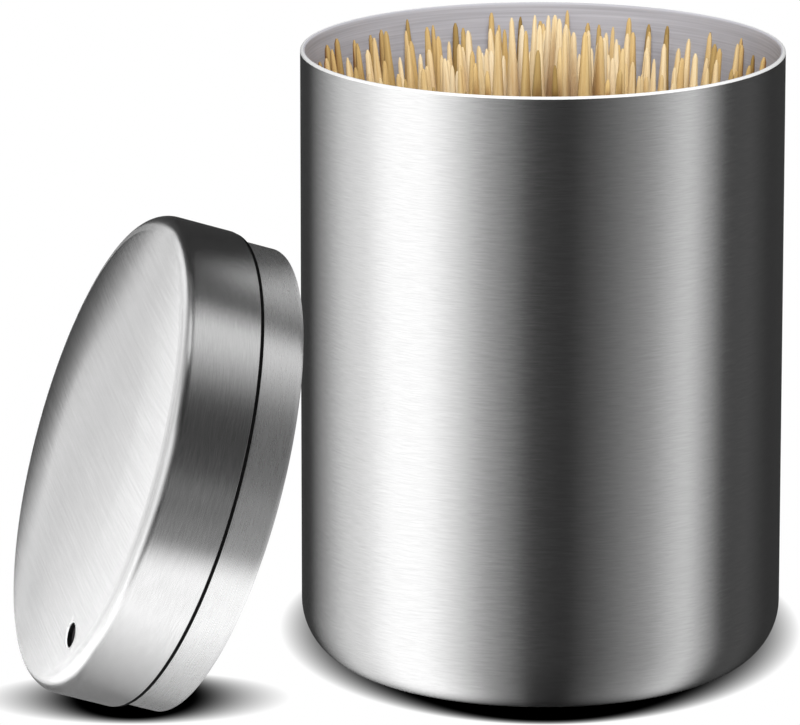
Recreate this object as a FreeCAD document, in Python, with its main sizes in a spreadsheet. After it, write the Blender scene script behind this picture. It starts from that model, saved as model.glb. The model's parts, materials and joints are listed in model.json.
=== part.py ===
import FreeCAD, Part
import functools
import math
import os
import random
import re
import Sketcher

# A toothpick dispenser: a drawn steel canister full of toothpicks, and its lid stood beside it.
# The origin is the centre of the canister's base on the table, +Z is up and the front is -Y.

V = FreeCAD.Vector
doc = FreeCAD.newDocument("toothpick_dispenser")

# Driving dimensions, in millimetres and degrees.
SIZES = [
    ("body_radius", 25.4, "outside of the canister, and of the cap, which is flush with it"),
    ("body_tall", 66.0, "canister from the table to its rim"),
    ("body_sheet", 0.5, "steel of the canister"),
    ("body_corner", 6.6, "outside radius of the canister's rounded lower corner"),
    ("cap_tall", 8.6, "cap from its edge to its face"),
    ("cap_corner", 2.9, "outside radius between the cap's face and its side"),
    ("cap_edge", 0.15, "rounding of the cap's lower edge"),
    ("hole_radius", 1.3, "dispensing hole in the cap's face"),
    ("hole_inset", 4.4, "the hole's centre in from the cap's side"),
    ("hole_turn", -54.2, "where the hole stands on the leaning cap, from level"),
    ("lid_fit", 0.15, "air between the sleeve and the canister's mouth, all round"),
    ("bond_line", 0.05, "air between the sleeve and what goes round it"),
    ("sleeve_sheet", 0.5, "steel of the sleeve"),
    ("sleeve_out", 4.9, "how far the sleeve stands out of the cap"),
    ("sleeve_in", 5.0, "how far the sleeve goes up into the cap"),
    ("seal_thick", 0.35, "black ring between the cap's edge and the canister's rim"),
    ("seal_inset", 0.1, "how far that ring stays inside the cap's side"),
    ("lid_lean", 18.0, "tilt of the lid's axis above level, as it stands on the table"),
    ("lid_turn", 14.8, "turn of the lid's axis from -X towards the front"),
    ("lid_bearing", 23.2, "where the lid's foot is round the canister, from -X towards the front"),
    ("lid_gap", 4.8, "how far the lid's upper edge stands off the canister"),
    ("pick_long", 64.0, "toothpick from end to end"),
    ("pick_radius", 1.0, "toothpick in its straight middle"),
    ("pick_taper", 14.0, "length of the taper at each end"),
    ("pick_tip", 0.3, "radius of the blunt tip"),
    ("pick_gap", 0.12, "least air between two toothpicks, and round the bunch"),
    ("pick_fill_share", 0.6475, "how full the bunch is, as a share of the floor that it stands on"),
    ("pick_spread", 1.05, "how far the fan opens, before the wall stops the outer tips"),
    ("pick_sway", 1.7, "how far a tip leans away from its place in the fan"),
    ("pick_uneven", 1.2, "how unevenly the toothpicks stand"),
    ("crown_rise", 7.2, "how far the tallest toothpicks are held up by their neighbours"),
    ("crown_front", 15.0, "middle of the tall toothpicks, in front of the canister's axis"),
    ("crown_wide", 11.0, "half width of the tall toothpicks"),
    ("crown_deep", 15.0, "half depth of the tall toothpicks"),
    ("single_picks", 8, "tall toothpicks that are pieces of their own"),
    ("ring_groups", 8, "groups of toothpicks round the outside of the bunch"),
    ("core_share", 0.45, "share of the bunch's radius that the middle group takes"),
    ("floor_radius", "body_radius - body_corner", "flat of the canister's base"),
    ("mouth_radius", "body_radius - body_sheet", "inside of the canister"),
    ("sleeve_radius", "mouth_radius - lid_fit", "outside of the sleeve"),
    ("sleeve_bore", "sleeve_radius - sleeve_sheet", "inside of the sleeve"),
    ("cap_inside", "sleeve_radius + bond_line", "inside of the cap's side"),
    ("cap_sheet", "body_radius - cap_inside", "steel of the cap"),
    ("lid_tall", "sleeve_out + cap_tall", "lid from the sleeve's open end to the cap's face"),
    ("fan_low", "floor_radius - pick_radius - pick_gap", "the bunch's radius on the floor"),
    ("fan_high", "sleeve_bore - pick_tip - pick_gap", "the bunch's radius at the tips"),
    ("hole_out", "body_radius - hole_inset", "the hole's centre from the cap's axis"),
    ("pick_room", "pick_radius + pick_gap / 2", "half the least distance between two axes"),
    ("pick_count", "pick_fill_share * (fan_low / pick_room) ^ 2", "toothpicks, as far as they fit"),
]

sheet = doc.addObject("Spreadsheet::Sheet", "sizes")
for row, (alias, value, note) in enumerate(SIZES, start=1):
    sheet.set(f"A{row}", note)
    sheet.set(f"B{row}", f"={value}" if isinstance(value, str) else str(value))
    sheet.setAlias(f"B{row}", alias)
sums = doc.addObject("Spreadsheet::Sheet", "sums")
doc.recompute()


def bound(formula):
    """A sum of sizes as an expression for an object outside their sheet."""
    return re.sub(r"[a-z]\w*", lambda name: "sizes." + name.group(), formula)


@functools.lru_cache(maxsize=None)
def size(formula):
    """A size, or a sum of sizes, worked out in the sheet for sums."""
    sums.set("A1", "=" + bound(formula))
    sums.recompute()
    return float(sums.get("A1"))


def constrain(sketch, kind, where, formula):
    """A driving dimension tied to the sheet."""
    index = sketch.addConstraint(Sketcher.Constraint(kind, *where, size(formula)))
    sketch.setExpression(f"Constraints[{index}]", bound(formula))


def hold(sketch, side, vertex, x, y):
    """Fixes a sketch point by its two coordinates, or puts it on an axis."""
    for kind, axis, formula in (("DistanceX", -2, x), ("DistanceY", -1, y)):
        if formula == "0":
            sketch.addConstraint(Sketcher.Constraint("PointOnObject", side, vertex, axis))
        else:
            constrain(sketch, kind, (-1, 1, side, vertex), formula)


def new_sketch(body, name, plane):
    sketch = body.newObject("Sketcher::SketchObject", name)
    origin_plane = next(p for p in body.Origin.OriginFeatures if p.Role == plane)
    sketch.AttachmentSupport = [(origin_plane, "")]
    sketch.MapMode = "FlatFace"
    return sketch


def arc_between(start, end, radius, turn):
    """The arc from start to end that turns left (1) or right (-1), drawn anticlockwise."""
    chord = end - start
    rise = math.sqrt(max(radius**2 - chord.Length**2 / 4, 0))
    left = V(-chord.y, chord.x, 0).normalize()
    centre = (start + end) / 2 + left * rise * turn
    first, last = (start, end) if turn > 0 else (end, start)
    begin = math.atan2(first.y - centre.y, first.x - centre.x)
    finish = math.atan2(last.y - centre.y, last.x - centre.x)
    if finish < begin:
        finish += 2 * math.pi
    return Part.ArcOfCircle(Part.Circle(centre, V(0, 0, 1), radius), begin, finish)


def turned(name, corners):
    """A body turned about its own Z axis from a closed half section. A corner is (x, z) where the side
    that leaves it is straight, and (x, z, radius, turn) where it is an arc to the left (1) or right (-1)."""
    body = doc.addObject("PartDesign::Body", name)
    sketch = new_sketch(body, name + "_section", "XZ_Plane")
    points = [V(size(corner[0]), size(corner[1]), 0) for corner in corners]
    ends = []
    for index, corner in enumerate(corners):
        start, end = points[index], points[(index + 1) % len(points)]
        if len(corner) == 2:
            sketch.addGeometry(Part.LineSegment(start, end))
            ends.append((1, 2))
        else:
            sketch.addGeometry(arc_between(start, end, size(corner[2]), corner[3]))
            ends.append((1, 2) if corner[3] > 0 else (2, 1))
    for index, corner in enumerate(corners):
        after = (index + 1) % len(corners)
        join = Sketcher.Constraint("Coincident", index, ends[index][1], after, ends[after][0])
        sketch.addConstraint(join)
    for index, corner in enumerate(corners):
        hold(sketch, index, ends[index][0], corner[0], corner[1])
        if len(corner) > 2:
            constrain(sketch, "Radius", (index,), corner[2])
    revolution = body.newObject("PartDesign::Revolution", name + "_turned")
    revolution.Profile = sketch
    revolution.ReferenceAxis = (sketch, ["V_Axis"])
    revolution.Angle = 360
    doc.recompute()
    return body


# Canister: one drawn shell with a flat base, a rounded lower corner and a round rim.
def canister():
    return turned("canister", [
        ("0", "0"),
        ("floor_radius", "0", "body_corner", 1),
        ("body_radius", "body_corner"),
        ("body_radius", "body_tall - body_sheet / 2", "body_sheet / 2", 1),
        ("body_radius - body_sheet / 2", "body_tall", "body_sheet / 2", 1),
        ("mouth_radius", "body_tall - body_sheet / 2"),
        ("mouth_radius", "body_corner", "body_corner - body_sheet", -1),
        ("floor_radius", "body_sheet"),
        ("0", "body_sheet"),
    ])


# The lid's own frame has its origin in the middle of the sleeve's open end and +Z through the cap's face.
def lid_cap():
    cap = turned("lid_cap", [
        ("cap_inside", "sleeve_out"),
        ("body_radius - cap_edge", "sleeve_out", "cap_edge", 1),
        ("body_radius", "sleeve_out + cap_edge"),
        ("body_radius", "lid_tall - cap_corner", "cap_corner", 1),
        ("body_radius - cap_corner", "lid_tall"),
        ("0", "lid_tall"),
        ("0", "lid_tall - cap_sheet"),
        ("body_radius - cap_corner", "lid_tall - cap_sheet", "cap_corner - cap_sheet", -1),
        ("cap_inside", "lid_tall - cap_corner"),
    ])
    whole = cap.Shape.Volume
    sketch = new_sketch(cap, "hole_circle", "XY_Plane")
    sketch.addGeometry(Part.Circle(V(size("hole_out"), 0, 0), V(0, 0, 1), size("hole_radius")))
    hold(sketch, 0, 3, "hole_out", "0")
    constrain(sketch, "Radius", (0,), "hole_radius")
    hole = cap.newObject("PartDesign::Pocket", "dispensing_hole")
    hole.Profile = sketch
    hole.Type = "ThroughAll"
    hole.Midplane = True
    doc.recompute()
    if cap.Shape.Volume >= whole:
        raise SystemExit("the dispensing hole cuts nothing")
    return cap


def lid_seal():
    return turned("lid_seal", [
        ("cap_inside", "sleeve_out - seal_thick"),
        ("body_radius - seal_inset", "sleeve_out - seal_thick"),
        ("body_radius - seal_inset", "sleeve_out"),
        ("cap_inside", "sleeve_out"),
    ])


def lid_sleeve():
    return turned("lid_sleeve", [
        ("sleeve_bore", "sleeve_sheet / 2", "sleeve_sheet / 2", 1),
        ("sleeve_bore + sleeve_sheet / 2", "0", "sleeve_sheet / 2", 1),
        ("sleeve_radius", "sleeve_sheet / 2"),
        ("sleeve_radius", "sleeve_out + sleeve_in"),
        ("sleeve_bore", "sleeve_out + sleeve_in"),
    ])


def lid_placement():
    """The lid stands on the lowest point of its sleeve and leans back towards the canister."""
    lean, turn, bearing = (math.radians(size(a)) for a in ("lid_lean", "lid_turn", "lid_bearing"))
    sleeve = size("sleeve_radius")
    edge_drop = (size("body_radius") - sleeve) * math.cos(lean) - size("sleeve_out") * math.sin(lean)
    away = size("body_radius + lid_gap") + 2 * sleeve * math.sin(lean)
    foot = V(-away * math.cos(bearing), -away * math.sin(bearing), max(edge_drop, 0))
    level = V(-math.cos(turn), -math.sin(turn), 0)
    up_the_lid = V(0, 0, math.cos(lean)) - level * math.sin(lean)
    about_z = FreeCAD.Rotation(V(0, 0, 1), size("lid_turn - 90"))
    about_x = FreeCAD.Rotation(V(1, 0, 0), size("90 - lid_lean"))
    spin = FreeCAD.Rotation(V(0, 0, 1), size("hole_turn"))
    return FreeCAD.Placement(foot + up_the_lid * sleeve, about_z * about_x * spin)


# A toothpick's place is [x, y, x, y, u]: its axis at the floor and at the height of the tips, and how
# unevenly it stands. Heights along it are shares of its length: where it is at its full width standing,
# and while it is drawn right out.
STANDING_SHARES = (0.1, 1.1)
DRAWN_SHARES = (0.1, 2.3)
NEIGHBOURS = 3.0
SWEEPS = 60


def nearest(one, other, heights):
    """How two toothpicks lie to each other where they come nearest, between two heights."""
    x, y = one[0] - other[0], one[1] - other[1]
    lean_x, lean_y = one[2] - other[2] - x, one[3] - other[3] - y
    lean = lean_x**2 + lean_y**2
    low, high = heights
    share = min(max(-(x * lean_x + y * lean_y) / lean, low), high) if lean else low
    return x + lean_x * share, y + lean_y * share


def clear_of(pick, others, heights):
    apart = size("2 * pick_room")
    return all(math.hypot(*nearest(pick, other, heights)) >= apart for other in others)


def push_apart(picks, apart):
    """Moves every two toothpicks that are too close away from each other, inside the fan."""
    for index, one in enumerate(picks):
        for other in picks[:index]:
            if abs(one[0] - other[0]) + abs(one[1] - other[1]) > NEIGHBOURS * apart:
                continue
            x, y = nearest(one, other, STANDING_SHARES)
            distance = math.hypot(x, y)
            if 0 < distance < apart:
                push = (apart / distance - 1) / 2
                for axis, way in ((0, x), (1, y), (2, x), (3, y)):
                    one[axis] += push * way
                    other[axis] -= push * way
    for pick in picks:
        for axis, limit in ((0, size("fan_low")), (2, size("fan_high"))):
            reach = math.hypot(pick[axis], pick[axis + 1])
            if reach > limit:
                pick[axis] *= limit / reach
                pick[axis + 1] *= limit / reach


def scatter():
    """The places of all the toothpicks, a fan of slightly leaning ones pushed apart until all are clear."""
    rng, heights = random.Random(11), random.Random(12)
    count = int(size("pick_count"))
    golden = math.pi * (3 - math.sqrt(5))
    picks = []
    for index in range(count):
        reach, turn = math.sqrt((index + rng.random()) / count), index * golden
        x, y = reach * math.cos(turn), reach * math.sin(turn)
        sway = [rng.uniform(-1, 1) * size("pick_sway") for _ in "xy"]
        low, high = size("fan_low"), size("fan_high * pick_spread")
        uneven = size("pick_uneven") * heights.random() ** 2
        picks.append([x * low, y * low, x * high + sway[0], y * high + sway[1], uneven])
    for _ in range(SWEEPS):
        push_apart(picks, size("2 * pick_room + pick_gap / 2"))
    clear = []
    for pick in picks:
        if clear_of(pick, clear, STANDING_SHARES):
            clear.append(pick)
    return clear


def placed(pick):
    """The placement of one toothpick: on the base, or held up by its neighbours in the tall part."""
    across = pick[2] / size("crown_wide")
    along = (pick[3] + size("crown_front")) / size("crown_deep")
    rise = size("crown_rise") * max(0, 1 - across**2 - along**2) + pick[4]
    way = V(pick[2] - pick[0], pick[3] - pick[1], size("pick_long")).normalize()
    foot = V(pick[0], pick[1], size("body_sheet + pick_gap"))
    return FreeCAD.Placement(foot + way * rise, FreeCAD.Rotation(V(0, 0, 1), way))


PICK_SECTION = [
    ("0", "0"),
    ("pick_tip", "0"),
    ("pick_radius", "pick_taper"),
    ("pick_radius", "pick_long - pick_taper"),
    ("pick_tip", "pick_long"),
    ("0", "pick_long"),
]


def pick_group(name, placements, shape):
    group = doc.addObject("Part::Feature", name)
    picks = [shape.copy() for _ in placements]
    for pick, placement in zip(picks, placements):
        pick.Placement = placement
    group.Shape = Part.makeCompound(picks)
    return group


def toothpicks():
    places = scatter()
    everyone = [(pick, placed(pick)) for pick in places]
    drawn = []
    for pick, _ in sorted(everyone, key=lambda entry: -entry[1].Base.z):
        if len(drawn) < size("single_picks") and clear_of(pick, drawn, DRAWN_SHARES):
            drawn.append(pick)
    singles = [entry for entry in everyone if entry[0] in drawn]
    others = [entry for entry in everyone if entry[0] not in drawn]
    pieces = []
    for number, (pick, placement) in enumerate(singles, start=1):
        body = turned(f"toothpick_{number}", PICK_SECTION)
        body.Placement = placement
        pieces.append(body)
        way = placement.Rotation.multVec(V(0, 0, 1))
        print(body.Label, "draws along", [round(part, 6) for part in way])
    section = [V(size(x), 0, size(z)) for x, z in PICK_SECTION]
    face = Part.Face(Part.makePolygon(section + section[:1]))
    shape = face.revolve(V(0, 0, 0), V(0, 0, 1), 360)
    rings = int(size("ring_groups"))
    core = size("fan_low * core_share")
    groups = {}
    for pick, placement in others:
        turn = math.atan2(pick[1], pick[0]) / (2 * math.pi) % 1
        inner = math.hypot(pick[0], pick[1]) < core
        name = "toothpicks_middle" if inner else f"toothpicks_outer_{int(turn * rings) + 1}"
        groups.setdefault(name, []).append(placement)
    for name in sorted(groups):
        pieces.append(pick_group(name, groups[name], shape))
    print("toothpicks", len(places), "of", int(size("pick_count")))
    return pieces


def check(pieces):
    for thing in doc.Objects:
        if {"Invalid", "Error"} & set(thing.State):
            raise SystemExit(f"{thing.Label} is {thing.State}")
    for piece in pieces:
        if piece.Shape.isNull() or not piece.Shape.isValid():
            raise SystemExit(f"{piece.Label} has no valid shape")


def build():
    lid = [lid_cap(), lid_seal(), lid_sleeve()]
    leaning = lid_placement()
    for piece in lid:
        piece.Placement = leaning
    pieces = [canister()] + lid + toothpicks()
    doc.recompute()
    check(pieces)
    os.makedirs("parts", exist_ok=True)
    for piece in pieces:
        piece.Shape.exportStep(f"parts/{piece.Label}.step")
        print(piece.Label, len(piece.Shape.Solids), "solids", round(piece.Shape.Volume, 2), "mm3")


build()
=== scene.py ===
# %% [markdown]
# A table dispenser for toothpicks
#
# The object is a straight round canister of brushed stainless steel, open at the top and full of
# toothpicks, and its lid, which stands on its edge beside it. This lesson dresses the solid model: it
# turns smooth sheet steel, brushes it in the right direction, and sharpens a hundred and eighty
# toothpicks without drawing each one. The solid model comes in first and stays where it is. Each new
# piece is laid over one of its nodes, so nothing has to be fitted by eye.

# %% Load the solid model
import bmesh
import bpy
import json
import math
import random
from mathutils import Matrix, Vector

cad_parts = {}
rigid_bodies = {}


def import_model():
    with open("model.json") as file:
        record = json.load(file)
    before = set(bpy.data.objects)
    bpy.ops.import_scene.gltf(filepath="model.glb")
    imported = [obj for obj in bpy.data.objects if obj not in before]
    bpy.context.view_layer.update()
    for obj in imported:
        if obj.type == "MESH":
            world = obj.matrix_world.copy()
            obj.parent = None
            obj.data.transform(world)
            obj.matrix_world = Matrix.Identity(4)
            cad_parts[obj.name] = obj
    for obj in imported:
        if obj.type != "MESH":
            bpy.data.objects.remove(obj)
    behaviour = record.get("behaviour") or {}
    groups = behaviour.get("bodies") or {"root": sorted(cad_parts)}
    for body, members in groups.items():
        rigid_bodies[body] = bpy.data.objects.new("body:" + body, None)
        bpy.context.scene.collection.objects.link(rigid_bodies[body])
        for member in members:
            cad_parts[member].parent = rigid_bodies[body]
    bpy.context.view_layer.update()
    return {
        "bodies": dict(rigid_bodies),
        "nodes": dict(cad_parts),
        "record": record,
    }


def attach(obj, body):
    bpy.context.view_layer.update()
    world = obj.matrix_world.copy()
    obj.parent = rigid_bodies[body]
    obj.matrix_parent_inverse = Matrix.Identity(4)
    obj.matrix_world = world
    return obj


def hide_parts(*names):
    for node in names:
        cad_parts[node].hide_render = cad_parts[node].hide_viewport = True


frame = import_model()
MM = 0.001

# %% [markdown]
# The lid leans, so it is easier to turn it upright about its own axis and lean it afterwards. The
# record says where the axis of its dispensing hole points, which is also the axis of the lid. The
# lid's centre is halfway across the cap along two directions square to that axis, and its lowest point
# along the axis is the sleeve's open end.

# %% Find how the lid lies
hole = next(mount for mount in frame["record"]["mounts"] if mount["name"] == "dispensing_hole")
lid_up = Vector(hole["axis"]).normalized()
lid_level = Vector((0, 0, 1)).cross(lid_up).normalized()
lid_rise = lid_up.cross(lid_level)


def middle_along(node, direction):
    reach = [direction.dot(v.co) for v in frame["nodes"][node].data.vertices]
    return (min(reach) + max(reach)) / 2


sleeve_end = min(lid_up.dot(v.co) for v in frame["nodes"]["lid_sleeve"].data.vertices)
lid_centre = (lid_level * middle_along("lid_cap", lid_level) + lid_rise * middle_along("lid_cap", lid_rise)
              + lid_up * sleeve_end)
lid_lies = Matrix((lid_level, lid_rise, lid_up)).transposed().to_4x4()
lid_lies.translation = lid_centre
hole_in_lid = lid_lies.inverted() @ Vector(hole["pos_m"])
print("lid centre in mm", [round(c / MM, 2) for c in lid_centre])
print("hole from it in mm", [round(c / MM, 2) for c in hole_in_lid])

# %% [markdown]
# Drawn steel is round, so a spin is its natural tool: a closed outline of half a section, swept once
# round the axis. The outline is drawn with sharp corners and the rings of edges that stand at a corner
# are bevelled afterwards, which gives true arcs of the radius that the press leaves. Points close to a
# corner hold the flat beside it flat, because smooth shading would otherwise bend the light across the
# whole wall.


# %% A tool that turns a section into a shell
def turned(outline, sides=240):
    """A closed outline of (radius, height) in millimetres, turned once round the Z axis."""
    bm = bmesh.new()
    points = [bm.verts.new((radius * MM, 0, height * MM)) for radius, height in outline]
    edges = [bm.edges.new((a, b)) for a, b in zip(points, points[1:] + points[:1])]
    bmesh.ops.spin(bm, geom=points + edges, axis=(0, 0, 1), cent=(0, 0, 0),
                   angle=2 * math.pi, steps=sides, use_merge=True)
    bmesh.ops.remove_doubles(bm, verts=bm.verts, dist=1e-7)
    bmesh.ops.recalc_face_normals(bm, faces=bm.faces)
    return bm


def ring_edges(bm, radius, height):
    """The edges that run round at one corner of the outline."""
    def on_it(vert):
        here = Vector((vert.co.x, vert.co.y)).length
        return abs(here - radius * MM) < 1e-6 and abs(vert.co.z - height * MM) < 1e-6
    return [edge for edge in bm.edges if all(on_it(vert) for vert in edge.verts)]


def round_ring(bm, radius, height, by, segments):
    bmesh.ops.bevel(bm, geom=ring_edges(bm, radius, height), offset=by * MM, offset_type="OFFSET",
                    segments=segments, profile=0.5, affect="EDGES", material=-1)


def brush_map(bm):
    """A UV map whose U runs round the piece, along its scratches, and whose V runs along its section."""
    layer = bm.loops.layers.uv.new("Brush")
    for face in bm.faces:
        middle = face.calc_center_median()
        turn = math.atan2(middle.y, middle.x)
        for loop in face.loops:
            co = loop.vert.co
            here = math.atan2(co.y, co.x) if co.xy.length > 1e-7 else turn
            step = (here - turn + math.pi) % (2 * math.pi) - math.pi
            loop[layer].uv = ((turn + step) / (2 * math.pi) + 0.5, (co.z + co.xy.length) / 0.2)


def finished(bm, name, node, body, places=Matrix.Identity(4)):
    """Makes the mesh an object in its place, riding on its body and standing for its node."""
    bm.transform(places)
    for face in bm.faces:
        face.smooth = True
    for edge in bm.edges:
        edge.smooth = edge.calc_face_angle(0) < math.radians(40)
    mesh = bpy.data.meshes.new(name)
    bm.to_mesh(mesh)
    bm.free()
    piece = bpy.data.objects.new(name, mesh)
    bpy.context.scene.collection.objects.link(piece)
    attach(piece, body)
    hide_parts(node)
    print(name, len(mesh.polygons), "faces")
    return piece


# %% [markdown]
# The canister is one deep-drawn cup: a wall half a millimetre thick, a flat base and a rounded lower
# corner, which is the mark of drawing, because steel can't be pulled round a sharp edge. The rim is
# rounded, and its thin white line is a painted highlight: the rim gets a nearly white, mostly matt finish.

# %% The canister
wall, tall, sheet, corner = 25.4, 66.0, 0.5, 6.6
bm = turned([(0, 0), (14, 0), (wall - corner - 0.4, 0), (wall, 0), (wall, corner + 0.4),
             (wall, 20), (wall, 44), (wall, tall - 0.5), (wall, tall),
             (wall - sheet, tall), (wall - sheet, tall - 0.5),
             (wall - sheet, 44), (wall - sheet, 20), (wall - sheet, corner + 0.4), (wall - sheet, sheet),
             (wall - corner - 0.4, sheet), (0, sheet)])
round_ring(bm, wall, 0, corner, 16)
round_ring(bm, wall - sheet, sheet, corner - sheet, 16)
round_ring(bm, wall, tall, sheet * 0.49, 5)
round_ring(bm, wall - sheet, tall, sheet * 0.49, 5)
brush_map(bm)
for face in bm.faces:
    here = face.calc_center_median()
    outwards = face.normal.dot(Vector((here.x, here.y, 0)).normalized())
    # Inward faces and the inside of the base get a darker, mostly matt lilac grey: painted shade and
    # reflection.
    face.material_index = int(outwards < -0.3 or (face.normal.z > 0.3 and here.z < corner * MM))
    # The rim's faces get the painted highlight, a nearly white, mostly matt finish that draws its thin
    # white line.
    if here.z > (tall - sheet / 2) * MM and outwards > -0.3:
        face.material_index = 2
canister = finished(bm, "canister_shell", "canister", "canister")

# %% [markdown]
# The lid is three pieces. The cap is a shallow drawn dish with one small hole near its edge. The sleeve
# is a ring that goes up inside the cap and plugs into the canister's mouth, and a thin black ring lies
# between the cap's edge and the canister's rim. All three are turned upright and then leaned together.

# %% The cap
sleeve_out, cap_tall, cap_corner, cap_sheet, inside = 4.9, 8.6, 2.05, 0.6, 24.8
face_bend, face_fall, bend_reach = 18.0, 0.55, 4.9
top = sleeve_out + cap_tall
bm = turned([(inside, sleeve_out), (wall, sleeve_out), (wall, sleeve_out + 0.5),
             (wall, top - cap_corner - 1.0), (wall, top - face_fall), (face_bend, top), (10, top),
             (0, top), (0, top - cap_sheet),
             (face_bend, top - cap_sheet), (inside, top - cap_sheet - face_fall),
             (inside, top - cap_corner - 1.0)])
round_ring(bm, wall, top - face_fall, cap_corner, 14)
round_ring(bm, face_bend, top, bend_reach, 12)
round_ring(bm, inside, top - cap_sheet - face_fall, cap_corner - cap_sheet, 10)
round_ring(bm, wall, sleeve_out, 0.15, 3)
print("cap", len(bm.faces), "faces before the hole")

# %% [markdown]
# The hole is punched, so its edge is crisp and its wall is as deep as the sheet. A boolean with a small
# cylinder is the plainest way to make it. The face of the cap is brushed straight across, not round,
# so the brush map is laid flat there, turned by the few degrees that the scratches are off level.

# %% Punch the hole
solid = bpy.data.meshes.new("cap")
bm.to_mesh(solid)
bm.free()
blank = bpy.data.objects.new("cap", solid)
scene = bpy.context.scene
scene.collection.objects.link(blank)
hole_radius = hole["dims"]["r_mm"] * MM
bm = bmesh.new()
bmesh.ops.create_cone(bm, cap_ends=True, segments=48, radius1=hole_radius, radius2=hole_radius,
                      depth=6 * MM)
bmesh.ops.translate(bm, verts=bm.verts, vec=hole_in_lid)
punch_mesh = bpy.data.meshes.new("punch")
bm.to_mesh(punch_mesh)
bm.free()
punch = bpy.data.objects.new("punch", punch_mesh)
scene.collection.objects.link(punch)
cut = blank.modifiers.new("hole", "BOOLEAN")
cut.operation, cut.solver, cut.object = "DIFFERENCE", "EXACT", punch
punched = bpy.data.meshes.new_from_object(blank.evaluated_get(bpy.context.evaluated_depsgraph_get()))
bm = bmesh.new()
bm.from_mesh(punched)
bpy.data.objects.remove(blank)
bpy.data.objects.remove(punch)
print("punched", len(bm.faces), "faces")

# %% [markdown]
# A punch breaks the edge, so the edges round the hole get a tiny bevel, and the fine bright ring on it
# is a painted highlight: the bevel gets the rim's nearly white finish. The bevel marks its own faces,
# and the other faces are told apart by where they look.


# %% Break the edge of the hole and mark each finish
SIDE, FACE, INSIDE, IN_HOLE, HOLE_EDGE = range(5)
GRAIN_TURN = math.radians(-8.6)


def at_hole(edge):
    """True for the edges that run round the hole on the outside of the cap."""
    def on_it(vert):
        off = (vert.co - hole_in_lid).xy.length - hole_radius
        return abs(off) < 0.02 * MM and vert.co.z > (top - 0.4) * MM
    return all(on_it(vert) for vert in edge.verts)


bmesh.ops.bevel(bm, geom=[edge for edge in bm.edges if at_hole(edge)], offset=0.09 * MM,
                offset_type="OFFSET", segments=2, profile=0.5, affect="EDGES", material=HOLE_EDGE)
brush_map(bm)


def is_inside(face):
    """True where a face of the lid looks at its axis, or out of its open end."""
    here = face.calc_center_median()
    return face.normal.dot(Vector((here.x, here.y, 0)).normalized()) < -0.3 or face.normal.z < -0.3


layer = bm.loops.layers.uv["Brush"]
for face in bm.faces:
    middle = face.calc_center_median()
    if face.material_index == HOLE_EDGE:
        continue
    if face.normal.z > 0.995 and middle.z > (top - 0.7) * MM:
        face.material_index = FACE
        for loop in face.loops:
            across = Matrix.Rotation(-GRAIN_TURN, 2) @ loop.vert.co.xy
            loop[layer].uv = across / 0.1
    # The wall of the hole gets a painted shade, a nearly black finish.
    elif abs(face.normal.z) < 0.5 and (middle - hole_in_lid).xy.length < hole_radius + 0.1 * MM:
        face.material_index = IN_HOLE
    # The inside of the lid gets a painted shade, a darker and duller finish than its outside.
    elif is_inside(face):
        face.material_index = INSIDE
    else:
        face.material_index = SIDE
lid_cap = finished(bm, "lid_cap_shell", "lid_cap", "lid", lid_lies)

# %% [markdown]
# The sleeve is a plain ring with its two lower edges broken, and the black ring fills the step between
# it and the cap. Neither needs more than a section of a few points.

# %% The sleeve and the black ring
outer, bore, end = 24.75, 24.25, sleeve_out + 5.0
bm = turned([(bore, 0), (outer, 0), (outer, 0.5), (outer, end), (bore, end), (bore, 0.5)])
round_ring(bm, bore, 0, 0.08, 2)
round_ring(bm, outer, 0, 0.08, 2)
brush_map(bm)
# The sleeve's inside faces get the lid's painted shade, its darker inside finish.
for face in bm.faces:
    face.material_index = int(is_inside(face) and face.calc_center_median().z > 0.5 * MM)
lid_sleeve = finished(bm, "lid_sleeve_ring", "lid_sleeve", "lid", lid_lies)
bm = turned([(inside, 4.55), (25.3, 4.55), (25.3, sleeve_out), (inside, sleeve_out)])
brush_map(bm)
lid_seal = finished(bm, "lid_seal_ring", "lid_seal", "lid", lid_lies)

# %% [markdown]
# Toothpicks are milled from birch: straight in the middle and tapered to a blunt point at both ends. No
# two are alike, and the solid model has already found a place for each. So one function makes a
# toothpick, a little different each time, and one is laid along the axis of each solid, with its own
# turn and tone. The tone is partly random and partly painted shade, darker the nearer a pick stands to
# the canister's wall.


# %% Read the axis of every toothpick
def axes_in(node):
    """The two ends of each toothpick in a node, lowest first."""
    bm = bmesh.new()
    bm.from_mesh(frame["nodes"][node].data)
    bmesh.ops.remove_doubles(bm, verts=bm.verts, dist=1e-6)
    left, ends = set(bm.verts), []
    while left:
        island, reach = set(), [left.pop()]
        while reach:
            vert = reach.pop()
            island.add(vert)
            for edge in vert.link_edges:
                other = edge.other_vert(vert)
                if other in left:
                    left.remove(other)
                    reach.append(other)
        low, high = (pick(vert.co.z for vert in island) for pick in (min, max))
        tips = [[vert.co for vert in island if abs(vert.co.z - level) < 0.15 * MM] for level in (low, high)]
        ends.append([sum(tip, Vector()) / len(tip) for tip in tips])
    bm.free()
    return sorted(ends, key=lambda pair: tuple(pair[0]))


pick_nodes = sorted(name for name in frame["nodes"] if name.startswith("toothpick"))
axes = {name: axes_in(name) for name in pick_nodes}
print("toothpicks", sum(len(found) for found in axes.values()), "in", len(pick_nodes), "nodes")

# %% Sharpen one toothpick
PICK_LENGTH, PICK_RADIUS, PICK_TAPER = 64.0, 1.0, 14.0
PICK_TIP, PICK_POINT = 0.3, 0.5


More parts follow.
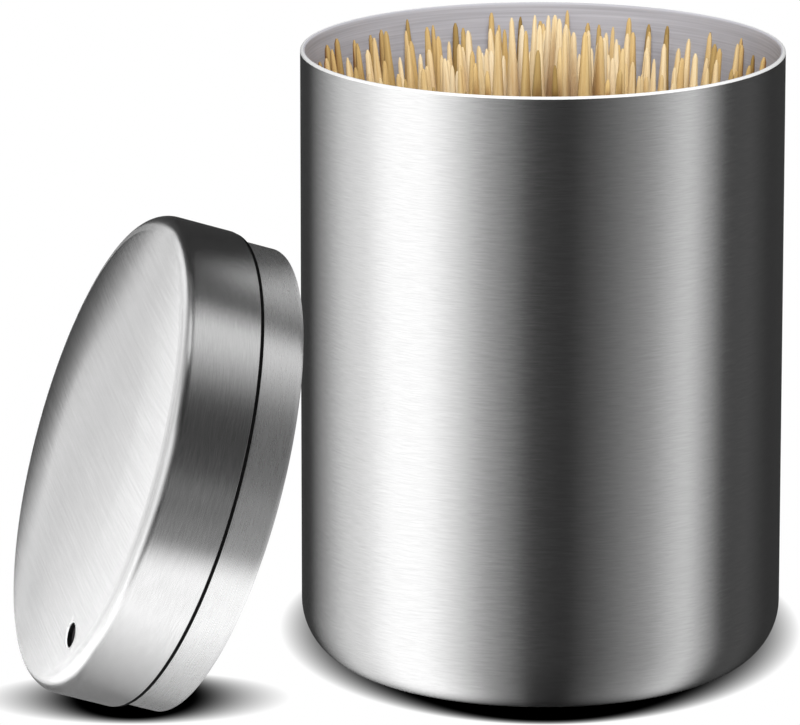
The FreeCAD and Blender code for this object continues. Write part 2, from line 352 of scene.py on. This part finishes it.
def one_pick(rng):
    """A toothpick on the Z axis, from 0 to its length, with a slightly uneven taper at each end."""
    bm = bmesh.new()
    taper = PICK_TAPER * rng.uniform(0.82, 1.0)
    heights = [0, PICK_POINT, taper * 0.5, taper, PICK_LENGTH - taper, PICK_LENGTH - taper * 0.5,
               PICK_LENGTH - PICK_POINT, PICK_LENGTH]
    middle = PICK_RADIUS * rng.uniform(0.9, 0.99)
    tip = PICK_TIP * rng.uniform(0.6, 1.0)
    halfway = tip + (middle - tip) * rng.uniform(0.47, 0.5)
    radii = [tip * 0.4, tip, halfway, middle, middle, halfway, tip, tip * 0.4]
    bmesh.ops.create_circle(bm, cap_ends=True, radius=radii[0] * MM, segments=10)
    face = bm.faces[:][0]
    ring = face.edges[:]
    for low, high, before, after in zip(heights, heights[1:], radii, radii[1:]):
        made = bmesh.ops.extrude_edge_only(bm, edges=ring)["geom"]
        verts = [part for part in made if isinstance(part, bmesh.types.BMVert)]
        ring = [part for part in made if isinstance(part, bmesh.types.BMEdge)]
        bmesh.ops.translate(bm, verts=verts, vec=(0, 0, (high - low) * MM))
        bmesh.ops.scale(bm, verts=verts, vec=(after / before, after / before, 1))
    bmesh.ops.contextual_create(bm, geom=ring)
    bmesh.ops.recalc_face_normals(bm, faces=bm.faces)
    return bm


# %% Lay a toothpick on each axis
def picks_for(node):
    """All the toothpicks of one node in one mesh, with a UV map along them and a tone of their own, partly
    random and partly painted shade.
    """
    gathered = bmesh.new()
    uv = gathered.loops.layers.uv.new("Grain")
    tone_and_painted_shade = gathered.verts.layers.float.new("tone_and_painted_shade")
    for number, (low, high) in enumerate(axes[node]):
        rng = random.Random(f"{node} {number}")
        single = one_pick(rng)
        way = (high - low).normalized()
        turn = Matrix.Rotation(rng.uniform(0, 2 * math.pi), 4, "Z")
        lie = Matrix.Translation(low) @ way.to_track_quat("Z", "Y").to_matrix().to_4x4() @ turn
        layer = single.loops.layers.uv.new("Grain")
        for face in single.faces:
            middle = face.calc_center_median()
            about = math.atan2(middle.y, middle.x)
            for loop in face.loops:
                here = math.atan2(loop.vert.co.y, loop.vert.co.x)
                step = (here - about + math.pi) % (2 * math.pi) - math.pi
                round_it = (about + step) / (2 * math.pi) + 0.5
                loop[layer].uv = (number + round_it, loop.vert.co.z / (PICK_LENGTH * MM))
        tone_and_shade_layer = single.verts.layers.float.new("tone_and_painted_shade")
        # Painted shade: the tone grows darker towards the wall, where the picks stand in shade, on top of a
        # random part.
        from_middle = high.xy.length / (wall * MM)
        random_tone_and_painted_shade = 0.45 * rng.random() + 0.7 * from_middle ** 2
        for vert in single.verts:
            vert[tone_and_shade_layer] = random_tone_and_painted_shade
        single.transform(lie)
        part = bpy.data.meshes.new("part")
        single.to_mesh(part)
        single.free()
        gathered.from_mesh(part)
        bpy.data.meshes.remove(part)
    body = node if node in frame["bodies"] else "toothpicks"
    return finished(gathered, node + "_wood", node, body)


wood_pieces = [picks_for(node) for node in pick_nodes]

# %% [markdown]
# Every finish below is a small net of nodes. A few helpers keep the nets short enough to read: one adds
# a node and sets its sockets by name, others do one step of arithmetic on numbers or on vectors, and one
# makes a colour ramp from a list of stops.


# %% Node helpers
def add(nodes, kind, **settings):
    """A new node. A setting is one of its sockets where it has one of that name, or else a property."""
    node = nodes.new(kind)
    for key, value in settings.items():
        if key in node.inputs:
            node.inputs[key].default_value = value
        else:
            setattr(node, key, value)
    return node


def new_material(name):
    """A material with the standard shader, ready for its sockets."""
    material = bpy.data.materials.new(name)
    material.use_nodes = True
    nodes, links = material.node_tree.nodes, material.node_tree.links
    return material, nodes, links, nodes["Principled BSDF"]


def bare_material(name):
    """A material with nothing but its output, for the things of the studio."""
    material, nodes, links, shader = new_material(name)
    nodes.remove(shader)
    return material, nodes, links, nodes["Material Output"]


def feed(links, socket, value):
    """Links a socket to another node, or gives it a plain value."""
    if isinstance(value, bpy.types.NodeSocket):
        links.new(value, socket)
    else:
        socket.default_value = value


def maths(nodes, links, operation, *values, clamp=False):
    """One step of arithmetic on numbers."""
    node = add(nodes, "ShaderNodeMath", operation=operation, use_clamp=clamp)
    for socket, value in zip(node.inputs, values):
        feed(links, socket, value)
    return node.outputs[0]


def vectors(nodes, links, operation, *values):
    """One step of arithmetic on vectors."""
    node = add(nodes, "ShaderNodeVectorMath", operation=operation)
    for socket, value in zip(node.inputs, values):
        feed(links, socket, value)
    return node.outputs[0]


def mapped(nodes, links, vector, **settings):
    """A vector moved, turned or scaled."""
    node = add(nodes, "ShaderNodeMapping", **settings)
    links.new(vector, node.inputs["Vector"])
    return node.outputs[0]


def spread(nodes, links, value, limits, kind="LINEAR"):
    """A number laid from one range onto another. limits are the ends of the first, then of the second."""
    node = add(nodes, "ShaderNodeMapRange", interpolation_type=kind)
    for socket, limit in zip(("From Min", "From Max", "To Min", "To Max"), limits):
        node.inputs[socket].default_value = limit
    links.new(value, node.inputs["Value"])
    return node.outputs[0]


def ramp(nodes, links, value, stops):
    """The colour that belongs to a number, from stops of (number, colour)."""
    node = add(nodes, "ShaderNodeValToRGB")
    elements = node.color_ramp.elements
    while len(elements) < len(stops):
        elements.new(0.5)
    for element, (at, colour) in zip(elements, stops):
        element.position = at
    for element, (at, colour) in zip(elements, stops):
        element.color = (*colour, 1)
    links.new(value, node.inputs["Fac"])
    return node.outputs["Color"]


def mix(nodes, links, factor, first, second, blend="MIX"):
    """Two colours mixed, or one multiplied by the other."""
    node = add(nodes, "ShaderNodeMix", data_type="RGBA", blend_type=blend)
    for socket, value in (("Factor", factor), ("A", first), ("B", second)):
        feed(links, node.inputs[socket], value)
    return node.outputs["Result"]


# %% [markdown]
# Brushed steel is a metal with thousands of fine parallel scratches. They spread a reflection across
# the grain, never along it, and that is why the canister shows soft upright bands. The shader gets a
# strong anisotropy whose direction follows the UV map, and a noise stretched along the grain makes
# single scratches lighter and darker, duller and brighter, and gives them a depth.


# %% Brushed steel
def brushed_steel(name, lies, along, rough=0.25, tint=(0.74, 0.74, 0.74), metal=1.0, streak=0.08):
    """Steel brushed round or across, in the frame that lies gives. along scales the noise on each axis."""
    material, nodes, links, shader = new_material(name)
    shader.inputs["Metallic"].default_value = metal
    shader.inputs["Anisotropic"].default_value = 0.85
    shader.inputs["Anisotropic Rotation"].default_value = 0.25
    tangent = add(nodes, "ShaderNodeTangent", direction_type="UV_MAP", uv_map="Brush")
    links.new(tangent.outputs[0], shader.inputs["Tangent"])
    place = add(nodes, "ShaderNodeTexCoord")
    back = lies.inverted()
    turned_back = mapped(nodes, links, place.outputs["Object"], name="turned back",
                         Location=back.translation, Rotation=back.to_euler())
    grain = add(nodes, "ShaderNodeTexNoise", Scale=1000.0, Detail=4.0, Roughness=0.6)
    links.new(mapped(nodes, links, turned_back, Scale=along), grain.inputs["Vector"])
    dark, light = ([part * share for part in tint] for share in (1 - streak, 1 + streak))
    colour = ramp(nodes, links, grain.outputs["Fac"], ((0.3, dark), (0.7, light)))
    links.new(colour, shader.inputs["Base Color"])
    dull = spread(nodes, links, grain.outputs["Fac"], (0, 1, rough - 0.04, rough + 0.04))
    links.new(dull, shader.inputs["Roughness"])
    scratches = add(nodes, "ShaderNodeBump", name="scratches", Strength=0.12, Distance=0.00005)
    links.new(grain.outputs["Fac"], scratches.inputs["Height"])
    links.new(scratches.outputs[0], shader.inputs["Normal"])
    return material


# %% [markdown]
# One recipe serves all the steel, and only its numbers differ. The outside is bright and finely
# brushed. The inside of the canister is satin, and its darker, mostly matt lilac grey is painted shade
# and reflection for what it sees there, only itself and the wood. The inside of the lid is a darker
# painted shade still, the wall of the hole is painted shade, nearly black, and the rims and the edge of
# the hole are a painted highlight, nearly white and mostly matt.

# %% The finishes of the steel
upright = Matrix.Identity(4)
face_lies = lid_lies @ Matrix.Rotation(GRAIN_TURN, 4, "Z")
round_steel = brushed_steel("brushed_steel_round", upright, (0.5, 0.5, 14))
canister_inside_painted_shade = brushed_steel("satin_steel_painted_shade_inside", upright, (0.05, 0.05, 4), 0.75, (0.59, 0.59, 0.64),
                            0.22, 0.15)
rim_painted_highlight = brushed_steel("painted_highlight_rim", upright, (0.3, 0.3, 8), 0.3, (0.96, 0.96, 0.96), 0.25, 0.03)
lid_steel = brushed_steel("brushed_steel_lid", lid_lies, (0.5, 0.5, 10))
face_steel = brushed_steel("brushed_steel_face", face_lies, (0.12, 6, 1), 0.18, streak=0.1)
lid_inside_painted_shade = brushed_steel("painted_shade_lid_inside", lid_lies, (0.3, 0.3, 8), 0.5, (0.42, 0.41, 0.42), 0.9)
hole_painted_shade = brushed_steel("painted_shade_hole_wall", lid_lies, (0.3, 0.3, 8), 0.5, (0.01, 0.01, 0.01), 0.9)
sleeve_steel = brushed_steel("satin_steel_sleeve", lid_lies, (0.5, 0.5, 12), 0.28, metal=0.93)
for piece, finishes in ((canister, (round_steel, canister_inside_painted_shade, rim_painted_highlight)),
                        (lid_cap, (lid_steel, face_steel, lid_inside_painted_shade, hole_painted_shade, rim_painted_highlight)),
                        (lid_sleeve, (sleeve_steel, lid_inside_painted_shade))):
    for finish in finishes:
        piece.data.materials.append(finish)
    print(piece.name, "has", [finish.name for finish in finishes])

# %% [markdown]
# The face of the cap is brushed by a pad that moves straight across, and the pad leaves deeper
# scratches than a turning brush and slow waves along its way. The waves are a second bump, much longer
# than it is wide, under the scratches.

# %% The waves on the face
nodes, links = face_steel.node_tree.nodes, face_steel.node_tree.links
nodes["scratches"].inputs["Strength"].default_value = 0.45
swell = add(nodes, "ShaderNodeTexNoise", Scale=1.0, Detail=1.0)
links.new(mapped(nodes, links, nodes["turned back"].outputs[0], Scale=(70, 6, 1)), swell.inputs["Vector"])
wave = add(nodes, "ShaderNodeBump", Strength=1.0, Distance=0.00004)
links.new(swell.outputs["Fac"], wave.inputs["Height"])
links.new(wave.outputs[0], nodes["scratches"].inputs["Normal"])
print("the face of the cap has", len(nodes), "nodes")

# %% [markdown]
# Polishing doesn't follow a rounded edge evenly. On the canister's lower corner the bands run nearly
# straight down and fade only at the very bottom, and on the cap's edge the light turns over in a
# narrow line. So the shader sees another normal there than the sheet has: one that leans less on the
# canister, and one that turns faster in the middle of the arc on the cap. On the cap the normal is
# turned upright first, its part along the lid's axis is steepened, and it is leaned back.

# %% Bend the light over the rounded edges
nodes, links = round_steel.node_tree.nodes, round_steel.node_tree.links
surface = add(nodes, "ShaderNodeNewGeometry")
less_lean = vectors(nodes, links, "MULTIPLY", surface.outputs["Normal"], (1, 1, 0.2))
links.new(vectors(nodes, links, "NORMALIZE", less_lean), nodes["scratches"].inputs["Normal"])

nodes, links = lid_steel.node_tree.nodes, lid_steel.node_tree.links
surface = add(nodes, "ShaderNodeNewGeometry")
stood_up = mapped(nodes, links, surface.outputs["Normal"], vector_type="VECTOR",
                  Rotation=lid_lies.inverted().to_euler())
level_part = vectors(nodes, links, "NORMALIZE", vectors(nodes, links, "MULTIPLY", stood_up, (1, 1, 0)))
axial_part = add(nodes, "ShaderNodeSeparateXYZ")
links.new(stood_up, axial_part.inputs[0])
face_tilt = math.cos(math.atan2(face_fall, wall - face_bend))
rise = spread(nodes, links, axial_part.outputs["Z"], (0.4, 0.93, 0, face_tilt), "SMOOTHSTEP")
rest = maths(nodes, links, "SUBTRACT", 1.0, maths(nodes, links, "MULTIPLY", rise, rise))
sideways = vectors(nodes, links, "MULTIPLY", level_part, maths(nodes, links, "SQRT", rest))
upwards = add(nodes, "ShaderNodeCombineXYZ")
links.new(rise, upwards.inputs["Z"])
leaned_back = mapped(nodes, links, vectors(nodes, links, "ADD", sideways, upwards.outputs[0]),
                     vector_type="VECTOR", Rotation=lid_lies.to_euler())
links.new(leaned_back, nodes["scratches"].inputs["Normal"])
print("the face leans", round(math.degrees(math.acos(face_tilt)), 1), "degrees at the edge of the cap")

# %% [markdown]
# The ring between cap and sleeve is so thin that it is only a black line. A plain dark rubber is enough,
# with little gloss, so that no white of the studio lands on it.

# %% The black ring
seal_black, nodes, links, shader = new_material("seal_black")
place = add(nodes, "ShaderNodeTexCoord")
specks = add(nodes, "ShaderNodeTexNoise", Scale=1500.0, Detail=3.0)
links.new(place.outputs["Object"], specks.inputs["Vector"])
colour = ramp(nodes, links, specks.outputs["Fac"], ((0, (0.001, 0.001, 0.001)), (1, (0.005, 0.005, 0.005))))
links.new(colour, shader.inputs["Base Color"])
shader.inputs["Roughness"].default_value = 0.6
shader.inputs["Specular IOR Level"].default_value = 0.04
lid_seal.data.materials.append(seal_black)
print(lid_seal.name, "has", seal_black.name)

# %% [markdown]
# Birch is nearly white when it is cut and turns yellow and brown as it dries. Each toothpick has its
# own tone, which its mesh carries, partly random and partly painted shade towards the wall, and a fine
# grain that runs lengthwise along its own UV map. Deep between the picks the light has met wood many
# times and is brown, so an ambient occlusion paints that brown shade into the colour.

# %% Birch
birch, nodes, links, shader = new_material("birch")
tone_and_painted_shade = add(nodes, "ShaderNodeAttribute", attribute_name="tone_and_painted_shade")
wood_and_painted_shade = ramp(nodes, links, tone_and_painted_shade.outputs["Fac"], ((0, (0.98, 0.89, 0.69)), (0.35, (0.95, 0.79, 0.5)),
                                                (0.65, (0.74, 0.54, 0.24)), (1, (0.34, 0.23, 0.07))))
grain_map = add(nodes, "ShaderNodeUVMap", uv_map="Grain")
fibre = add(nodes, "ShaderNodeTexNoise", Scale=1.0, Detail=5.0, Roughness=0.7)
links.new(mapped(nodes, links, grain_map.outputs[0], Scale=(9, 7, 1)), fibre.inputs["Vector"])
fibres = ramp(nodes, links, fibre.outputs["Fac"], ((0.35, (0.7, 0.58, 0.42)), (0.65, (1, 1, 1))))
# Painted shade: an ambient occlusion darkens the colour to a deep brown where the picks crowd.
between = add(nodes, "ShaderNodeAmbientOcclusion", samples=8, Distance=5 * MM)
painted_gap_shade = ramp(nodes, links, between.outputs["AO"], ((0.2, (0.3, 0.12, 0.03)), (0.82, (1, 1, 1))))
grained = mix(nodes, links, 0.75, wood_and_painted_shade, fibres, "MULTIPLY")
links.new(mix(nodes, links, 1.0, grained, painted_gap_shade, "MULTIPLY"), shader.inputs["Base Color"])
shader.inputs["Roughness"].default_value = 0.62
for piece in wood_pieces:
    piece.data.materials.append(birch)
print("birch on", len(wood_pieces), "pieces")

# %% [markdown]
# The object stands on a pale floor in a plain studio. Metal shows whatever stands round it, so the
# studio is drawn as upright bands of light and dark for mirrored rays alone, while the camera sees
# white and matt surfaces get an even light. The bands change with the height: those below the horizon
# light the upright walls, because the camera looks down on them, and the roof lights what looks up.

# %% The studio
scene.view_settings.view_transform = "Standard"
world = bpy.data.worlds.new("studio")
scene.world = world
world.use_nodes = True
nodes, links = world.node_tree.nodes, world.node_tree.links
nodes.clear()
way = add(nodes, "ShaderNodeTexCoord")
parts = add(nodes, "ShaderNodeSeparateXYZ")
links.new(way.outputs["Generated"], parts.inputs[0])
front = maths(nodes, links, "MULTIPLY", parts.outputs["Y"], -1)
bearing = maths(nodes, links, "ARCTAN2", parts.outputs["X"], front)
share = spread(nodes, links, bearing, (-math.pi, math.pi))


def panels(stops):
    """Light and dark panels round the studio: a ramp of (bearing in degrees, level)."""
    return ramp(nodes, links, share, [((angle + 180) / 360, (level,) * 3) for angle, level in stops])


def blended(below, above, start, end):
    """One colour below a height and another above it, where a height is the sine of the elevation."""
    height = spread(nodes, links, parts.outputs["Z"], (start, end), "SMOOTHSTEP")
    return mix(nodes, links, height, below, above)


low = panels([(-180, 0.04), (-146, 0.03), (-128, 0.36), (-109, 0.83), (-94, 0.97), (-78, 1.42), (-58, 1.4),
              (-28, 0.38), (-17, 0.2), (-7, 0.02), (12, 0.01), (30, 0.14), (52, 0.37), (73, 0.85),
              (84, 0.45), (96, 0.05), (115, 0.08), (135, 0.03)])
level = panels([(-180, 0.04), (-140, 0.05), (-112, 0.4), (-85, 1.05), (-50, 1.15), (-25, 0.6), (0, 0.15),
                (20, 0.03), (50, 0.02), (75, 0.35), (100, 0.1), (130, 0.03)])
high = panels([(-180, 0.02), (-150, 0.04), (-120, 0.15), (-80, 0.5), (-45, 0.2), (0, 0.02), (50, 0.03),
               (68, 0.65), (95, 1.0), (120, 0.12), (140, 0.03)])
roof = panels([(-180, 0.1), (-110, 0.3), (-80, 1.0), (15, 1.0), (40, 0.1)])
studio = blended(low, level, -0.1, 0.1)
studio = blended(studio, high, 0.45, 0.65)
studio = blended(studio, roof, 0.87, 0.95)
studio = blended((0.04, 0.04, 0.04, 1), studio, -0.97, -0.72)

# %% Show the studio to mirrored rays alone
mirrored = add(nodes, "ShaderNodeBackground")
links.new(studio, mirrored.inputs["Color"])
plain = add(nodes, "ShaderNodeBackground", Color=(0.6, 0.6, 0.6, 1))
white = add(nodes, "ShaderNodeBackground", Color=(1, 1, 1, 1))
rays = add(nodes, "ShaderNodeLightPath")
light = plain
for ray, instead in (("Is Glossy Ray", mirrored), ("Is Camera Ray", white)):
    choice = add(nodes, "ShaderNodeMixShader")
    for socket, source in zip(choice.inputs, (rays.outputs[ray], light.outputs[0], instead.outputs[0])):
        links.new(source, socket)
    light = choice
output = add(nodes, "ShaderNodeOutputWorld")
links.new(light.outputs[0], output.inputs["Surface"])
print("the studio has", len(nodes), "nodes")

# %% [markdown]
# The floor is white paper for the camera, so it glows at a strength of 1, and mirrored rays pass through
# it to the studio's lower bands. Its shadow has to be in the glow, then. On a white table under broad
# light a shadow is a soft dark ellipse that is black where the object touches, so two ellipses are
# drawn, and an ambient occlusion lets them show only where the object really closes off the sky.

# %% The floor
bm = bmesh.new()
bmesh.ops.create_circle(bm, cap_ends=True, radius=0.6, segments=64)
mesh = bpy.data.meshes.new("floor")
bm.to_mesh(mesh)
bm.free()
floor = bpy.data.objects.new("floor", mesh)
scene.collection.objects.link(floor)
paper, nodes, links, output = bare_material("paper")
spot = add(nodes, "ShaderNodeTexCoord")
floor.data.materials.append(paper)
print("floor", floor.dimensions.xy[:])


# %% Measure distances on the floor
def measured(nodes, links, spot, centre, half_sizes):
    """The distance from a centre, where 1 is the edge of an ellipse of the given half sizes."""
    moved = mapped(nodes, links, spot.outputs["Object"],
                   Location=[-c / h for c, h in zip(centre, half_sizes)] + [0],
                   Scale=[1 / (h * MM) for h in half_sizes] + [1])
    reach = add(nodes, "ShaderNodeVectorMath", operation="LENGTH")
    links.new(moved, reach.inputs[0])
    return reach.outputs["Value"]


def fading(centre, black, white):
    """0 inside one ellipse, rising to 1 at a larger one round the same centre."""
    near = measured(nodes, links, spot, centre, black)
    far = measured(nodes, links, spot, centre, white)
    above = maths(nodes, links, "SUBTRACT", near, 1)
    across = maths(nodes, links, "SUBTRACT", near, far)
    share = maths(nodes, links, "DIVIDE", above, across, clamp=True)
    return maths(nodes, links, "POWER", share, 3.4)


def near_object(distance, black, white):
    """0 where the object closes off much of the sky within a distance, 1 where it closes off none."""
    near = add(nodes, "ShaderNodeAmbientOcclusion", samples=16, Distance=distance * MM)
    return spread(nodes, links, near.outputs["AO"], (black, white))


# %% Shade the floor
under_canister = fading((0.2, 11.5), (20, 35.7), (28.1, 37.6))
under_lid = fading((-42.6, -16.2), (5.7, 7.2), (16.1, 9.7))
shadows = maths(nodes, links, "MULTIPLY", under_canister, under_lid)
glow = add(nodes, "ShaderNodeEmission")
links.new(maths(nodes, links, "MAXIMUM", shadows, near_object(60, 0.86, 0.995)), glow.inputs["Color"])
# Painted shade for mirrored rays: within about 30 mm of the canister's axis they are darkened where the
# object closes off the sky within 5 mm, so the canister's lower corner mirrors a dark floor.
from_axis = measured(nodes, links, spot, (0, 0), (30, 30))
away = maths(nodes, links, "MULTIPLY_ADD", from_axis, 10, -10, clamp=True)
mirror_with_painted_shade = add(nodes, "ShaderNodeBsdfTransparent")
links.new(maths(nodes, links, "MAXIMUM", near_object(5, 0.12, 0.75), away), mirror_with_painted_shade.inputs["Color"])
rays = add(nodes, "ShaderNodeLightPath")
choice = add(nodes, "ShaderNodeMixShader")
links.new(rays.outputs["Is Glossy Ray"], choice.inputs[0])
links.new(glow.outputs[0], choice.inputs[1])
links.new(mirror_with_painted_shade.outputs[0], choice.inputs[2])
links.new(choice.outputs[0], output.inputs["Surface"])
print("the floor's paper has", len(nodes), "nodes")

# %% [markdown]
# One lamp stands in front and above, as in most product shots, and shapes the matt toothpicks. The
# steel doesn't mirror it, because the studio's bands are all that the steel shows. The steel of the
# canister doesn't mirror the lid either: a studio shot is lit so that the two pieces stay clean.

# %% The lamp
light = bpy.data.lights.new("lamp_front", "AREA")
light.shape = "SQUARE"
light.size = 0.3
light.energy = 4.6
lamp = bpy.data.objects.new("lamp_front", light)
lamp.location = (0, -0.5, 0.55)
lamp.rotation_euler = (Vector((0, 0, 0.06)) - lamp.location).to_track_quat("-Z", "Y").to_euler()
lamp.visible_camera = False
lamp.visible_glossy = False
scene.collection.objects.link(lamp)
lid_pieces = (lid_cap, lid_sleeve, lid_seal)
for piece in lid_pieces:
    piece.visible_glossy = False
print(lamp.name, light.energy, "watts")

# %% [markdown]
# The lid gets two cards of its own. Its lower side mirrors the floor in front of it, so one card lies
# there, bright in the middle and fading outwards. It is just under the floor, which mirrored rays pass
# through. The face of the cap mirrors what is behind it and to its left, so the other card stands
# there, darker towards the back and with one soft stripe, which gives the face its slanting bands. A
# card is clear and only adds light, and light linking lets it light the lid alone.

# %% The cards for the lid
BRIGHTEST = 1.5


def lid_card(name, places, size, stops, distance):
    """A card whose light follows stops of (distance in millimetres, level). distance finds the first."""
    bm = bmesh.new()
    bmesh.ops.create_grid(bm, x_segments=1, y_segments=1, size=1)
    bmesh.ops.scale(bm, verts=bm.verts, vec=(size[0] * MM / 2, size[1] * MM / 2, 1))
    mesh = bpy.data.meshes.new(name)
    bm.to_mesh(mesh)
    bm.free()
    card = bpy.data.objects.new(name, mesh)
    card.matrix_world = places
    card.visible_camera = False
    scene.collection.objects.link(card)
    material, nodes, links, output = bare_material(name)
    reach = stops[-1][0]
    steps = [(at / reach, (level / BRIGHTEST,) * 3) for at, level in stops]
    shine = add(nodes, "ShaderNodeEmission", Strength=BRIGHTEST)
    links.new(ramp(nodes, links, distance(nodes, links, reach), steps), shine.inputs["Color"])
    clear = add(nodes, "ShaderNodeBsdfTransparent")
    both = add(nodes, "ShaderNodeAddShader")
    links.new(shine.outputs[0], both.inputs[0])
    links.new(clear.outputs[0], both.inputs[1])
    links.new(both.outputs[0], output.inputs["Surface"])
    card.data.materials.append(material)
    lit = bpy.data.collections.new(name)
    for piece in lid_pieces:
        lit.objects.link(piece)
    card.light_linking.receiver_collection = lit
    card.light_linking.blocker_collection = lit
    print(name, size, "mm")


def from_middle(nodes, links, reach):
    """The distance from the middle of a card, where 1 is the whole reach."""
    return measured(nodes, links, add(nodes, "ShaderNodeTexCoord"), (0, 0), (reach, reach))


def from_left_edge(nodes, links, reach):
    """The distance from the left edge of the card behind the lid, where 1 is the whole reach."""
    spot = add(nodes, "ShaderNodeTexCoord")
    sides = add(nodes, "ShaderNodeSeparateXYZ")
    links.new(spot.outputs["Object"], sides.inputs[0])
    edge = -behind_size[0] / 2
    return spread(nodes, links, sides.outputs["X"], (edge * MM, (edge + reach) * MM))


before = Matrix.Translation((-0.031, -0.057, -0.001))
lid_card("card_before_lid", before, (220, 220),
         ((0, 1.05), (6, 1.15), (11, 1.2), (17, 0.98), (25, 0.58), (33, 0.15), (45, 0.12), (95, 0.08),
          (110, 0)),
         from_middle)
facing = Vector((0.049, -0.011, 0)).to_track_quat("-Z", "Y").to_matrix()
facing = facing @ Matrix.Rotation(math.radians(11), 3, "Z")
behind = Matrix.Translation((-0.083, -0.0115, 0.0095)) @ facing.to_4x4()
behind_size = (120, 173)
lid_card("card_behind_lid", behind, behind_size,
         ((4, 0.02), (12, 0.05), (17, 0.26), (21, 0.75), (23.5, 1.3), (27, 0.3), (29.5, 0.75),
          (34, 0.96), (45, 1.04), (58, 1.0), (78, 0.25), (100, 0)),
         from_left_edge)

# %% [markdown]
# The photograph was taken from a little above and from far away, as product shots are, so the upright
# sides stay parallel. The ellipse of the rim gives the angle, 13.8 degrees down, and the slight
# narrowing towards the floor gives the distance. A long lens at that distance then frames the object.

# %% The camera
LOOKS_DOWN = 13.8
camera = bpy.data.cameras.new("camera")
camera.lens, camera.sensor_width = 328.7, 36
camera.clip_start, camera.clip_end = 0.01, 10
eye = bpy.data.objects.new("camera", camera)
eye.location = (-0.01494, -0.7499, 0.2163)
eye.rotation_euler = (math.radians(90 - LOOKS_DOWN), 0, 0)
scene.collection.objects.link(eye)
scene.camera = eye
print("camera at", eye.location[:], "looking down", LOOKS_DOWN, "degrees")
